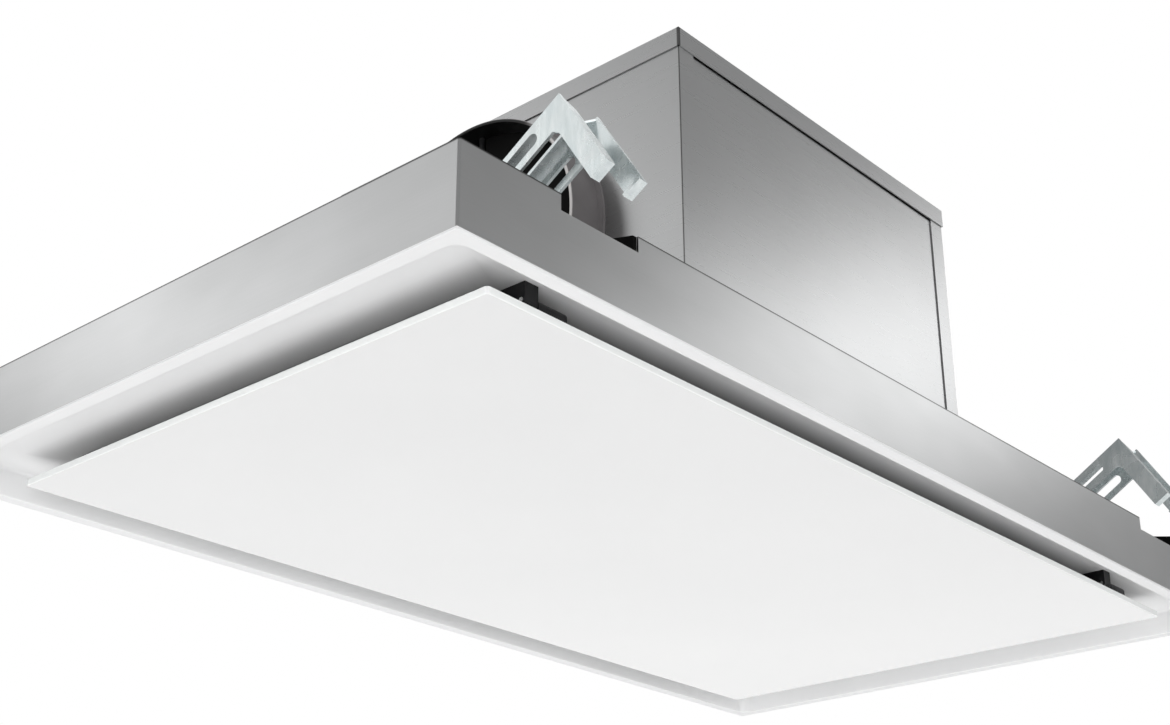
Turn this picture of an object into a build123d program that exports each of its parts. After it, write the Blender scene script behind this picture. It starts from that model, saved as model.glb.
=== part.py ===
"""Ceiling range hood, flush type, with a flat glass panel and perimeter suction.

Millimetres. X runs along the long side, Y along the short side, +Z is up.
The origin is the middle of the underside: z = 0 is the lower face of the white
rim and of the glass panel, which lie in the room just below the ceiling.
The near long side is at -Y and carries the panel hinges.
"""

import os
from math import atan2, cos, degrees, pi, radians, sin

from build123d import *

os.makedirs("parts", exist_ok=True)

# ---------------------------------------------------------------- overall sizes
hood_length = 900.0
hood_width = 500.0
hood_height = 299.0

# white rim and the recessed channel inside it
lip_width = 10.0
lip_sheet = 1.5
lip_rebate = 0.5
lip_corner = 8.0
rim_overhang = 6.0
trough_run_short = 70.0
trough_run_long = 50.0
trough_height = 20.0
trough_sheet = 1.5
trough_bend = 3.0
lip_bend = 0.8
trough_wall = 3.0
trough_flange = 8.0
trough_corner = 4.0

# steel casing wall and its clearance notches
wall_sheet = 1.2
wall_top = 56.0
wall_corner = 1.5
notch_width = 63.0
notch_depth = 10.0

# deck, plenum and filter carrier, all galvanised sheet
steel_sheet = 1.2
deck_drop = 0.8
deck_skirt = 12.0
fit_gap = 0.1
hanger_hole_r = 3.5
hanger_edge_x = 44.0
hanger_edge_y = 44.0
filter_count = 3
filter_gap = 6.0
filter_side_gap = 4.0
filter_end_margin = 28.0
filter_thickness = 9.0
filter_border = 14.0
filter_ledge = 10.0
filter_mesh_thickness = 5.0

# glass panel and what carries it
gap_short = 59.0
gap_long = 37.0
glass_thickness = 4.5
glass_corner = 2.5
carrier_inset_x = 32.0
carrier_inset_y = 18.0
carrier_sheet = 1.0
carrier_height = 4.5
hinge_inset_near = 53.2
hinge_inset_far = 64.5
catch_inset = 91.0
hinge_axis_in = 5.6
hinge_axis_z = 9.6
knuckle_r = 2.9
knuckle_length = 22.5
hinge_pin_r = 1.5
hinge_play = 0.05
hinge_end_gap = 0.5
hinge_block_length = 10.5
hinge_block_depth = 18.0
hinge_block_arch = 4.0
hinge_foot_gap = 1.0
hinge_foot_thickness = 2.0

# motor box on the deck
box_length = 338.0
box_width = 340.0
box_sheet = 1.0
box_flange = 16.0
box_ledge = 15.0
lid_skirt = 15.0

# round outlet with two non-return flaps
outlet_r = 99.5
outlet_wall = 2.5
outlet_length = 29.0
outlet_z = 177.0
outlet_flange_r = 104.0
outlet_flange = 2.0
flap_pin_r = 2.0
flap_sheet = 1.5
flap_edge_gap = 2.5
flap_barrel_r = 4.0
flap_pivot_depth = 14.0
flap_play = 0.06
flap_barrel_gap = 0.5

# blower
impeller_r = 75.0
impeller_width = 100.0
blade_count = 36
blade_depth = 14.0
blade_sheet = 1.0
impeller_disc = 3.0
impeller_ring = 2.5
hub_r = 12.0
hub_length = 14.0
blower_x = 30.0
blower_z = 160.0
scroll_r = 100.0
scroll_sheet = 1.5
scroll_width = 120.0
scroll_cutoff_r = 88.0
scroll_outlet_top = 235.0
scroll_outlet_bottom = 125.0
inlet_r = 62.0
adapter_sheet = 2.0
adapter_margin = 14.0
motor_r = 44.0
motor_length = 52.0
motor_standoff = 8.0
shaft_r = 4.0
shaft_play = 0.05
bearing_r = 9.0
bearing_length = 8.0
spider_sheet = 2.0
spider_ring = 8.0
spider_arm = 10.0

# swing-out ceiling clamps
clamp_inset = 112.5
clamp_width = 34.0
clamp_sheet = 2.0
clamp_apex_y = 229.0
clamp_apex_z = 131.0
clamp_tilt = 31.5
clamp_leg_width = 17.0
clamp_arm_width = 13.0
clamp_arm_length = 65.0
slot_play = 0.1
clamp_slot_mid = 8.2
clamp_slot_start = 24.6
clamp_bolt_at = 84.0
clamp_arm_flange = 7.8
clamp_flange_slant = 12.0
clamp_end_tab = 7.0
clamp_leg_flange_a = 12.5
clamp_leg_flange_b = 14.0
clamp_web_from = 58.0
bolt_r = 3.9
bolt_play = 0.08
bolt_head_r = 7.0
bolt_head = 3.2
nut_size = 11.0
nut_length = 5.0
side_gap = 0.3
ear_foot_width = 30.0
ear_neck = 16.0
ear_swing_gap = 0.4
base_sheet = 3.0
base_length = 48.0
base_half_width = 26.0
tray_wall = 3.0
tray_depth = 52.0
tray_rise = 4.0
tray_rise_run = 18.0
stud_r = 2.5
stud_top = 66.0

# ---------------------------------------------------------------- worked out once
half_length = hood_length / 2
half_width = hood_width / 2
clamp_x = half_length - clamp_inset
clamp_slot_width = 2 * (bolt_r + slot_play)
panel_length = hood_length - 2 * gap_short
panel_width = hood_width - 2 * gap_long
lip_inner_length = hood_length - 2 * lip_width
lip_inner_width = hood_width - 2 * lip_width
trough_length = lip_inner_length - 2 * trough_run_short
trough_width = lip_inner_width - 2 * trough_run_long
frame_length = trough_length + 2 * trough_wall
frame_width = trough_width + 2 * trough_wall
frame_z = trough_height + trough_flange
cut_length = hood_length - 2 * rim_overhang
cut_width = hood_width - 2 * rim_overhang
wall_inner_length = cut_length - 2 * wall_sheet
wall_inner_width = cut_width - 2 * wall_sheet
wall_foot = lip_sheet - lip_rebate
deck_top = wall_top - notch_depth - deck_drop
deck_z = deck_top - steel_sheet
box_top = hood_height - box_sheet
box_half_x = box_length / 2
box_half_y = box_width / 2
outlet_mouth = -box_half_x - outlet_length
outlet_bore_r = outlet_r - outlet_wall

# ---------------------------------------------------------------- white rim with its channel
hinge_axis_y = -panel_width / 2 + hinge_axis_in
hinge_block_out = hinge_axis_y - knuckle_r
hinge_xs = (
    -panel_length / 2 + hinge_inset_near,
    panel_length / 2 - hinge_inset_far,
)
with BuildPart() as trim_frame:
    with BuildSketch(Plane.XY):
        Rectangle(hood_length, hood_width)
    extrude(amount=lip_sheet)
    # the channel: one folded block, then its hollow cut out from below
    with BuildSketch(Plane.XY):
        RectangleRounded(
            lip_inner_length + 2 * trough_sheet,
            lip_inner_width + 2 * trough_sheet,
            lip_corner + trough_sheet,
        )
    extrude(amount=trough_height + trough_sheet)
    with BuildSketch(Plane.XY):
        RectangleRounded(lip_inner_length, lip_inner_width, lip_corner)
    extrude(amount=trough_height, mode=Mode.SUBTRACT)
    roof_edges = trim_frame.edges().filter_by_position(
        Axis.Z, trough_height - 0.01, trough_height + 0.01
    )
    fillet(roof_edges, trough_bend)
    # the opening to the filters and the upstand around it
    with BuildSketch(Plane.XY.offset(trough_height + trough_sheet)):
        RectangleRounded(frame_length, frame_width, trough_corner + trough_wall)
    extrude(amount=trough_flange - trough_sheet)
    with BuildSketch(Plane.XY):
        RectangleRounded(trough_length, trough_width, trough_corner)
    extrude(amount=frame_z, mode=Mode.SUBTRACT)
    # shallow rebate that locates the foot of the casing wall
    with BuildSketch(Plane.XY.offset(wall_foot)):
        Rectangle(cut_length, cut_width)
        Rectangle(wall_inner_length, wall_inner_width, mode=Mode.SUBTRACT)
    extrude(amount=lip_sheet, mode=Mode.SUBTRACT)
    lip_edges = trim_frame.edges().filter_by_position(Axis.Z, -0.01, 0.01)
    fillet(lip_edges, lip_bend)
trim_frame.part.label = "trim_frame"
export_step(trim_frame.part, "parts/trim_frame.step")

# ---------------------------------------------------------------- steel casing wall
with BuildPart() as casing_wall:
    with BuildSketch(Plane.XY.offset(wall_foot)):
        RectangleRounded(cut_length, cut_width, wall_corner)
        Rectangle(wall_inner_length, wall_inner_width, mode=Mode.SUBTRACT)
    extrude(amount=wall_top - wall_foot)
    with BuildSketch(Plane.XY.offset(wall_top - notch_depth)):
        with Locations((-clamp_x, 0), (clamp_x, 0)):
            Rectangle(notch_width, hood_width)
    extrude(amount=notch_depth, mode=Mode.SUBTRACT)
casing_wall.part.label = "casing_wall"
export_step(casing_wall.part, "parts/casing_wall.step")

# ---------------------------------------------------------------- deck that closes the casing
with BuildPart() as deck_plate:
    deck_length = wall_inner_length - 2 * fit_gap
    deck_width = wall_inner_width - 2 * fit_gap
    with BuildSketch(Plane.XY.offset(deck_z)):
        Rectangle(deck_length, deck_width)
    extrude(amount=steel_sheet)
    with BuildSketch(Plane.XY.offset(deck_z - deck_skirt)):
        Rectangle(deck_length, deck_width)
        Rectangle(
            deck_length - 2 * steel_sheet, deck_width - 2 * steel_sheet, mode=Mode.SUBTRACT
        )
    extrude(amount=deck_skirt)
    with BuildSketch(Plane.XY.offset(deck_z)):
        Rectangle(box_length - 2 * box_ledge, box_width - 2 * box_ledge)
    extrude(amount=steel_sheet, mode=Mode.SUBTRACT)
    hanger_span_x = 2 * (half_length - rim_overhang - hanger_edge_x)
    hanger_span_y = 2 * (half_width - rim_overhang - hanger_edge_y)
    with BuildSketch(Plane.XY.offset(deck_z)):
        with GridLocations(hanger_span_x, hanger_span_y, 2, 2):
            Circle(hanger_hole_r)
    extrude(amount=steel_sheet, mode=Mode.SUBTRACT)
deck_plate.part.label = "deck_plate"
export_step(deck_plate.part, "parts/deck_plate.step")

# ---------------------------------------------------------------- filter carrier and plenum wall
filter_length = (
    trough_length - 2 * filter_side_gap - (filter_count - 1) * filter_gap
) / filter_count
filter_width = trough_width - 2 * filter_end_margin
filter_pitch = filter_length + filter_gap
filter_xs = [(index - (filter_count - 1) / 2) * filter_pitch for index in range(filter_count)]
filter_z = frame_z - filter_thickness

with BuildPart() as filter_carrier:
    with BuildSketch(Plane.XY.offset(frame_z)):
        RectangleRounded(frame_length, frame_width, trough_corner + trough_wall)
        with GridLocations(filter_pitch, 1, filter_count, 1):
            Rectangle(
                filter_length - 2 * filter_ledge,
                filter_width - 2 * filter_ledge,
                mode=Mode.SUBTRACT,
            )
    extrude(amount=steel_sheet)
filter_carrier.part.label = "filter_carrier"
export_step(filter_carrier.part, "parts/filter_carrier.step")

plenum_z = frame_z + steel_sheet
with BuildPart() as plenum_wall:
    with BuildSketch(Plane.XY.offset(plenum_z)):
        Rectangle(frame_length - 2 * trough_corner, frame_width - 2 * trough_corner)
        offset(amount=-steel_sheet, kind=Kind.INTERSECTION, mode=Mode.SUBTRACT)
    extrude(amount=deck_z - plenum_z)
plenum_wall.part.label = "plenum_wall"
export_step(plenum_wall.part, "parts/plenum_wall.step")

# ---------------------------------------------------------------- grease filters with their latches
latch_length = 44.0
latch_depth = 14.0
latch_height = 4.5
latch_travel = 5.0
latch_play = 0.3
latch_tongue_length = 20.0
latch_tongue = 9.5
latch_tongue_height = 2.0
latch_pocket_depth = latch_depth + latch_travel + 2 * latch_play
latch_pocket_height = latch_height + latch_play
latch_front_wall = 5.0
rail_gap = 0.8
rail_depth = 4.5
rail_drop = 2.0
rail_lip = 8.0
rail_lip_height = 1.7
filter_names = ("left", "middle", "right")

for filter_x, filter_name in zip(filter_xs, filter_names):
    pocket_y = -filter_width / 2 + latch_front_wall
    with BuildPart() as grease_filter:
        with BuildSketch(Plane.XY.offset(filter_z)):
            with Locations((filter_x, 0)):
                RectangleRounded(filter_length, filter_width, 4.0)
                with Locations((0, latch_pocket_depth / 2)):
                    Rectangle(
                        filter_length - 2 * filter_border,
                        filter_width - 2 * filter_border - latch_pocket_depth,
                        mode=Mode.SUBTRACT,
                    )
        extrude(amount=filter_thickness)
        # pocket for the latch, open below, and the slot its tongue leaves by
        with BuildSketch(Plane.XY.offset(filter_z)):
            with Locations((filter_x, pocket_y + latch_pocket_depth / 2)):
                Rectangle(latch_length + 2 * latch_play, latch_pocket_depth)
        extrude(amount=latch_pocket_height, mode=Mode.SUBTRACT)
        with BuildSketch(Plane.XY.offset(filter_z)):
            with Locations((filter_x, pocket_y - latch_front_wall / 2)):
                Rectangle(latch_tongue_length + 2 * latch_play, latch_front_wall)
        extrude(amount=latch_tongue_height + 2 * latch_play, mode=Mode.SUBTRACT)
    grease_filter.part.label = f"filter_rim_{filter_name}"
    export_step(grease_filter.part, f"parts/filter_rim_{filter_name}.step")

    with BuildPart() as filter_mesh:
        with BuildSketch(Plane.XY.offset(filter_z + (filter_thickness - filter_mesh_thickness) / 2)):
            with Locations((filter_x, latch_pocket_depth / 2)):
                Rectangle(
                    filter_length - 2 * filter_border,
                    filter_width - 2 * filter_border - latch_pocket_depth,
                )
        extrude(amount=filter_mesh_thickness)
    filter_mesh.part.label = f"filter_mesh_{filter_name}"
    export_step(filter_mesh.part, f"parts/filter_mesh_{filter_name}.step")

    with BuildPart() as filter_latch:
        latch_y = pocket_y + latch_play
        with BuildSketch(Plane.XY.offset(filter_z)):
            with Locations((filter_x, latch_y + latch_depth / 2)):
                RectangleRounded(latch_length, latch_depth, 2.0)
        extrude(amount=latch_height)
        with BuildSketch(Plane.XY.offset(filter_z + latch_play)):
            with Locations((filter_x, latch_y - latch_tongue / 2 + 1.0)):
                Rectangle(latch_tongue_length, latch_tongue + 2.0)
        extrude(amount=latch_tongue_height)
        # finger dish in the underside
        with BuildSketch(Plane.XY.offset(filter_z)):
            with Locations((filter_x, latch_y + latch_depth / 2)):
                SlotOverall(latch_length * 0.6, latch_depth * 0.5)
        extrude(amount=1.5, mode=Mode.SUBTRACT)
    filter_latch.part.label = f"filter_latch_{filter_name}"
    export_step(filter_latch.part, f"parts/filter_latch_{filter_name}.step")

# two rails hold the filters: slots for the latches at the near end, a lip at the far end
with BuildPart() as filter_rails:
    rail_z = filter_z - rail_drop
    rail_y = filter_width / 2 + rail_gap + rail_depth / 2
    with BuildSketch(Plane.XY.offset(rail_z)):
        with Locations((0, -rail_y), (0, rail_y)):
            Rectangle(trough_length - 2 * filter_side_gap, rail_depth)
    extrude(amount=filter_thickness + rail_drop)
    with BuildSketch(Plane.XY.offset(rail_z)):
        with Locations((0, rail_y - rail_lip / 2)):
            Rectangle(trough_length - 2 * filter_side_gap, rail_lip)
    extrude(amount=rail_lip_height)
    with BuildSketch(Plane.XY.offset(filter_z)):
        with Locations((0, -rail_y)):
            with GridLocations(filter_pitch, 1, filter_count, 1):
                Rectangle(latch_tongue_length + 2 * latch_play, rail_depth)
    extrude(amount=latch_tongue_height + 2 * latch_play, mode=Mode.SUBTRACT)
filter_rails.part.label = "filter_rails"
export_step(filter_rails.part, "parts/filter_rails.step")

# ---------------------------------------------------------------- glass panel and its carrier
with BuildPart() as glass_panel:
    with BuildSketch(Plane.XY):
        RectangleRounded(panel_length, panel_width, glass_corner)
    extrude(amount=glass_thickness)
    chamfer(glass_panel.faces().sort_by(Axis.Z)[0].edges(), 0.5)
glass_panel.part.label = "glass_panel"
export_step(glass_panel.part, "parts/glass_panel.step")

carrier_length = panel_length - 2 * carrier_inset_x
carrier_width = panel_width - 2 * carrier_inset_y
with BuildPart() as panel_carrier:
    with BuildSketch(Plane.XY.offset(glass_thickness)):
        RectangleRounded(carrier_length, carrier_width, 6.0)
    extrude(amount=carrier_sheet)
    with BuildSketch(Plane.XY.offset(glass_thickness + carrier_sheet)):
        RectangleRounded(carrier_length, carrier_width, 6.0)
        RectangleRounded(
            carrier_length - 2 * carrier_sheet,
            carrier_width - 2 * carrier_sheet,
            5.0,
            mode=Mode.SUBTRACT,
        )
    extrude(amount=carrier_height - carrier_sheet)
panel_carrier.part.label = "panel_carrier"
export_step(panel_carrier.part, "parts/panel_carrier.step")

# hinge: a pin in a black block on the hood, a knuckle on the panel
with BuildPart() as hinge_blocks:
    for hinge_x in hinge_xs:
        block_right = hinge_x - knuckle_length / 2 - hinge_end_gap
        block_left = block_right - hinge_block_length
        block_in = hinge_block_out + hinge_block_depth
        with BuildSketch(Plane.YZ.offset(block_left)):
            with BuildLine():
                Polyline(
                    (hinge_block_out, hinge_axis_z),
                    (hinge_block_out, trough_height),
                    (block_in, trough_height),
                    (block_in, hinge_axis_z + hinge_block_arch),
                    (hinge_axis_y + knuckle_r, hinge_axis_z),
                    close=True,
                )
            make_face()
            with Locations((hinge_axis_y, hinge_axis_z)):
                Circle(knuckle_r)
                Circle(hinge_pin_r, mode=Mode.SUBTRACT)
        extrude(amount=hinge_block_length)
hinge_blocks.part.label = "hinge_blocks"
export_step(hinge_blocks.part, "parts/hinge_blocks.step")

with BuildPart() as hinge_pins:
    for hinge_x in hinge_xs:
        pin_left = hinge_x - knuckle_length / 2 - hinge_end_gap - hinge_block_length
        with BuildSketch(Plane.YZ.offset(pin_left)):
            with Locations((hinge_axis_y, hinge_axis_z)):
                Circle(hinge_pin_r)
        extrude(amount=hinge_block_length + hinge_end_gap + knuckle_length - 1.0)
hinge_pins.part.label = "hinge_pins"
export_step(hinge_pins.part, "parts/hinge_pins.step")

with BuildPart() as hinge_arms:
    foot_top = glass_thickness + hinge_foot_thickness
    foot_in = -carrier_width / 2 - hinge_foot_gap
    for hinge_x in hinge_xs:
        with BuildSketch(Plane.YZ.offset(hinge_x - knuckle_length / 2)):
            with Locations((hinge_axis_y, hinge_axis_z)):
                Circle(knuckle_r)
            with BuildLine():
                Polyline(
                    (hinge_axis_y - knuckle_r, hinge_axis_z),
                    (hinge_axis_y - knuckle_r, glass_thickness),
                    (foot_in, glass_thickness),
                    (foot_in, foot_top),
                    (hinge_axis_y + knuckle_r, foot_top),
                    (hinge_axis_y + knuckle_r, hinge_axis_z),
                    close=True,
                )
            make_face()
            with Locations((hinge_axis_y, hinge_axis_z)):
                Circle(hinge_pin_r + hinge_play, mode=Mode.SUBTRACT)
        extrude(amount=knuckle_length)
hinge_arms.part.label = "hinge_arms"
export_step(hinge_arms.part, "parts/hinge_arms.step")

# catches on the far long side: a stud on the panel in a sprung socket on the hood
catch_x = panel_length / 2 - catch_inset
catch_y = trough_width / 2 - filter_end_margin / 2
catch_r = 8.0
catch_bore_r = 4.6
stud_shank_r = 3.0
stud_head_r = 4.0
catch_socket_height = 10.5
catch_z = frame_z - catch_socket_height
carrier_floor = glass_thickness + carrier_sheet
with BuildPart() as catch_sockets:
    with BuildSketch(Plane.XY.offset(catch_z)):
        with Locations((-catch_x, catch_y), (catch_x, catch_y)):
            Circle(catch_r)
            Circle(catch_bore_r, mode=Mode.SUBTRACT)
    extrude(amount=catch_socket_height)
catch_sockets.part.label = "catch_sockets"
export_step(catch_sockets.part, "parts/catch_sockets.step")

with BuildPart() as catch_studs:
    stud_length = catch_z + 6.0 - carrier_floor
    with BuildSketch(Plane.XY.offset(carrier_floor)):
        with Locations((-catch_x, catch_y), (catch_x, catch_y)):
            Circle(2 * stud_shank_r)
    extrude(amount=1.5)
    with BuildSketch(Plane.XY.offset(carrier_floor)):
        with Locations((-catch_x, catch_y), (catch_x, catch_y)):
            Circle(stud_shank_r)
    extrude(amount=stud_length)
    with BuildSketch(Plane.XY.offset(carrier_floor + stud_length - 3.0)):
        with Locations((-catch_x, catch_y), (catch_x, catch_y)):
            Circle(stud_head_r)
    extrude(amount=3.0)
    chamfer(catch_studs.faces().sort_by(Axis.Z)[-2:].edges(), 0.8)
catch_studs.part.label = "catch_studs"
export_step(catch_studs.part, "parts/catch_studs.step")

# ---------------------------------------------------------------- light bars beside the filters
light_end_gap = 42.0
light_length = 2 * (catch_x - catch_r - light_end_gap)
light_width = 12.0
light_height = 8.0
light_inset = 4.0
lens_thickness = 1.5
lens_height = 6.0
light_y = trough_width / 2 - light_inset - light_width / 2
with BuildPart() as light_bars:
    with BuildSketch(Plane.XY.offset(frame_z - light_height)):
        with Locations((0, -light_y), (0, light_y)):
            Rectangle(light_length, light_width)
    extrude(amount=light_height)
light_bars.part.label = "light_bars"
export_step(light_bars.part, "parts/light_bars.step")

with BuildPart() as light_lenses:
    lens_y = light_y + light_width / 2 + lens_thickness / 2
    with BuildSketch(Plane.XY.offset(frame_z - light_height)):
        with Locations((0, -lens_y), (0, lens_y)):
            Rectangle(light_length, lens_thickness)
    extrude(amount=lens_height)
light_lenses.part.label = "light_lenses"
export_step(light_lenses.part, "parts/light_lenses.step")

# ---------------------------------------------------------------- motor box
with BuildPart() as motor_box:
    with BuildSketch(Plane.XY.offset(deck_top)):
        Rectangle(box_length, box_width)
        offset(amount=-box_sheet, kind=Kind.INTERSECTION, mode=Mode.SUBTRACT)
        # the near face is open between its two return flanges
        with Locations((0, -box_half_y)):
            Rectangle(box_length - 2 * box_flange, 2 * box_sheet + 1.0, mode=Mode.SUBTRACT)
    extrude(amount=box_top - deck_top)
    with BuildSketch(Plane.YZ.offset(-box_half_x)):
        with Locations((0, outlet_z)):
            Circle(outlet_bore_r)
    extrude(amount=box_sheet, mode=Mode.SUBTRACT)
    gland_hole_r = 8.0
    gland_x = 100.0
    gland_z = 100.0
    with BuildSketch(Plane.XZ.offset(-box_half_y)):
        with Locations((gland_x, gland_z)):
            Circle(gland_hole_r)
    extrude(amount=box_sheet, mode=Mode.SUBTRACT)
motor_box.part.label = "motor_box"
export_step(motor_box.part, "parts/motor_box.step")

with BuildPart() as box_front_panel:
    with BuildSketch(Plane.XY.offset(deck_top)):
        with Locations((0, -box_half_y + 1.5 * box_sheet)):
            Rectangle(box_length - 2 * box_sheet - 2 * fit_gap, box_sheet)
    extrude(amount=box_top - deck_top)
box_front_panel.part.label = "box_front_panel"
export_step(box_front_panel.part, "parts/box_front_panel.step")

with BuildPart() as box_lid:
    with BuildSketch(Plane.XY.offset(hood_height - lid_skirt)):
        Rectangle(
            box_length + 2 * (box_sheet + fit_gap), box_width + 2 * (box_sheet + fit_gap)
        )
    extrude(amount=lid_skirt)
    with BuildSketch(Plane.XY.offset(hood_height - lid_skirt)):
        Rectangle(box_length + 2 * fit_gap, box_width + 2 * fit_gap)
    extrude(amount=lid_skirt - box_sheet, mode=Mode.SUBTRACT)
    fillet(box_lid.edges().group_by(Axis.Z)[-1], 0.8)
box_lid.part.label = "box_lid"
export_step(box_lid.part, "parts/box_lid.step")

# ---------------------------------------------------------------- outlet collar, flaps and their pin
flap_x = outlet_mouth + flap_pivot_depth
with BuildPart() as outlet_collar:
    with BuildSketch(Plane.YZ.offset(outlet_mouth)):
        with Locations((0, outlet_z)):
            Circle(outlet_r)
            Circle(outlet_bore_r, mode=Mode.SUBTRACT)
    extrude(amount=outlet_length)
    with BuildSketch(Plane.YZ.offset(-box_half_x - outlet_flange)):
        with Locations((0, outlet_z)):
            Circle(outlet_flange_r)
            Circle(outlet_bore_r, mode=Mode.SUBTRACT)
    extrude(amount=outlet_flange)
    # bore for the flap pin, through the top and bottom of the collar
    with BuildSketch(Plane.XY.offset(outlet_z - outlet_r)):
        with Locations((flap_x, 0)):
            Circle(flap_pin_r)
    extrude(amount=2 * outlet_r, mode=Mode.SUBTRACT)
    mouth_edges = outlet_collar.edges().filter_by_position(
        Axis.X, outlet_mouth - 0.01, outlet_mouth + 0.01
    )
    fillet(mouth_edges, 0.8)
outlet_collar.part.label = "outlet_collar"
export_step(outlet_collar.part, "parts/outlet_collar.step")

flap_pin_half = outlet_r - 0.5
with BuildPart() as flap_pin:
    with BuildSketch(Plane.XY.offset(outlet_z - flap_pin_half)):
        with Locations((flap_x, 0)):
            Circle(flap_pin_r)
    extrude(amount=2 * flap_pin_half)
flap_pin.part.label = "flap_pin"
export_step(flap_pin.part, "parts/flap_pin.step")

flap_r = outlet_bore_r - flap_edge_gap
barrel_span = 2 * (flap_r - 12.0)
barrel_count = 4
barrel_length = barrel_span / barrel_count
for flap_name, flap_side in (("near", -1), ("far", 1)):
    own_barrels = [index for index in range(barrel_count) if index % 2 == (flap_side + 1) // 2]
    with BuildPart() as flap:
        with BuildSketch(Plane.YZ.offset(flap_x - flap_sheet / 2)):
            with Locations((0, outlet_z)):
                Circle(flap_r)
                # keep one half, a little clear of the pin
                with Locations((-flap_side * outlet_r + flap_side * (flap_barrel_r + 0.6), 0)):
                    Rectangle(2 * outlet_r, 2 * outlet_r + 10, mode=Mode.SUBTRACT)
        extrude(amount=flap_sheet)
        for index in own_barrels:
            barrel_z = outlet_z - barrel_span / 2 + index * barrel_length + flap_barrel_gap / 2
            with BuildSketch(Plane.XY.offset(barrel_z)):
                with Locations((flap_x, 0)):
                    Circle(flap_barrel_r)
                with Locations((flap_x, flap_side * (flap_barrel_r / 2 + 1.0))):
                    Rectangle(flap_sheet, flap_barrel_r + 2.0)
            extrude(amount=barrel_length - flap_barrel_gap)
        with BuildSketch(Plane.XY.offset(outlet_z - barrel_span / 2)):
            with Locations((flap_x, 0)):
                Circle(flap_pin_r + flap_play)
        extrude(amount=barrel_span, mode=Mode.SUBTRACT)
    flap.part.label = f"flap_{flap_name}"
    export_step(flap.part, f"parts/flap_{flap_name}.step")

# ---------------------------------------------------------------- blower housing
scroll_half = scroll_width / 2
scroll_end_x = -box_half_x + box_sheet + adapter_sheet
cutoff_z = blower_z - (scroll_r - scroll_cutoff_r)
with BuildPart() as blower_scroll:
    with BuildSketch(Plane.XZ.offset(-scroll_half)):
        with BuildLine():
            scroll_top = (blower_x, blower_z + scroll_r)
            scroll_right = (blower_x + scroll_r, blower_z)
            scroll_low = (blower_x, blower_z - scroll_r)
            ThreePointArc(scroll_top, scroll_right, scroll_low)
            ThreePointArc(
                scroll_low,
                (
                    blower_x - scroll_cutoff_r * sin(pi / 4),
                    cutoff_z - scroll_cutoff_r * cos(pi / 4),
                ),
                (blower_x - scroll_cutoff_r, cutoff_z),
            )
            Line((blower_x - scroll_cutoff_r, cutoff_z), (scroll_end_x, scroll_outlet_bottom))
            Line((scroll_end_x, scroll_outlet_bottom), (scroll_end_x, scroll_outlet_top))
            Line((scroll_end_x, scroll_outlet_top), scroll_top)
        make_face()
    extrude(amount=scroll_width)
    openings_end = blower_scroll.faces().sort_by(Axis.X)[0]
    offset(amount=-scroll_sheet, openings=openings_end, kind=Kind.INTERSECTION)
    with BuildSketch(Plane.XZ.offset(-scroll_half)):
        with Locations((blower_x, blower_z)):
            Circle(inlet_r)
    extrude(amount=scroll_width, mode=Mode.SUBTRACT)
blower_scroll.part.label = "blower_scroll"
export_step(blower_scroll.part, "parts/blower_scroll.step")

with BuildPart() as outlet_adapter:
    adapter_low = min(scroll_outlet_bottom, outlet_z - outlet_bore_r) - adapter_margin
    adapter_high = max(scroll_outlet_top, outlet_z + outlet_bore_r) + adapter_margin
    with BuildSketch(Plane.YZ.offset(-box_half_x + box_sheet)):
        with Locations((0, (adapter_low + adapter_high) / 2)):
            Rectangle(2 * (outlet_bore_r + adapter_margin), adapter_high - adapter_low)
        with Locations((0, (scroll_outlet_bottom + scroll_outlet_top) / 2)):
            Rectangle(
                scroll_width - 2 * scroll_sheet,
                scroll_outlet_top - scroll_outlet_bottom - 2 * scroll_sheet,
                mode=Mode.SUBTRACT,
            )
    extrude(amount=adapter_sheet)
outlet_adapter.part.label = "outlet_adapter"
export_step(outlet_adapter.part, "parts/outlet_adapter.step")

# ---------------------------------------------------------------- impeller, shaft and motor
with BuildPart() as impeller:
    blade_mid_r = impeller_r - blade_depth / 2
    with BuildSketch(Plane.XZ.offset(-impeller_disc / 2)):
        with Locations((blower_x, blower_z)):
            Circle(impeller_r)
            with PolarLocations(blade_mid_r, blade_count):
                Rectangle(blade_depth - 1.0, blade_sheet, rotation=35, mode=Mode.SUBTRACT)
    extrude(amount=impeller_disc)
    with BuildSketch(Plane.XZ.offset(0)):
        with Locations((blower_x, blower_z)):
            Circle(hub_r)
    extrude(amount=hub_length)
    with BuildSketch(Plane.XZ.offset(-impeller_disc / 2)):
        with Locations((blower_x, blower_z)):
            Circle(shaft_r)
    extrude(amount=hub_length + impeller_disc, mode=Mode.SUBTRACT)
impeller.part.label = "impeller"
export_step(impeller.part, "parts/impeller.step")

# blades pass through the slots in the disc and end against the two rings
blade_end = impeller_width / 2 - impeller_ring
with BuildPart() as impeller_blades:
    with BuildSketch(Plane.XZ.offset(-blade_end)):
        with Locations((blower_x, blower_z)):
            with PolarLocations(blade_mid_r, blade_count):
                Rectangle(blade_depth - 1.0, blade_sheet, rotation=35)
    extrude(amount=2 * blade_end)
impeller_blades.part.label = "impeller_blades"
export_step(impeller_blades.part, "parts/impeller_blades.step")

with BuildPart() as impeller_rings:
    for ring_y in (-impeller_width / 2, blade_end):
        with BuildSketch(Plane.XZ.offset(-ring_y - impeller_ring)):
            with Locations((blower_x, blower_z)):
                Circle(impeller_r)
                Circle(impeller_r - blade_depth, mode=Mode.SUBTRACT)
        extrude(amount=impeller_ring)
impeller_rings.part.label = "impeller_rings"
export_step(impeller_rings.part, "parts/impeller_rings.step")

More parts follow.
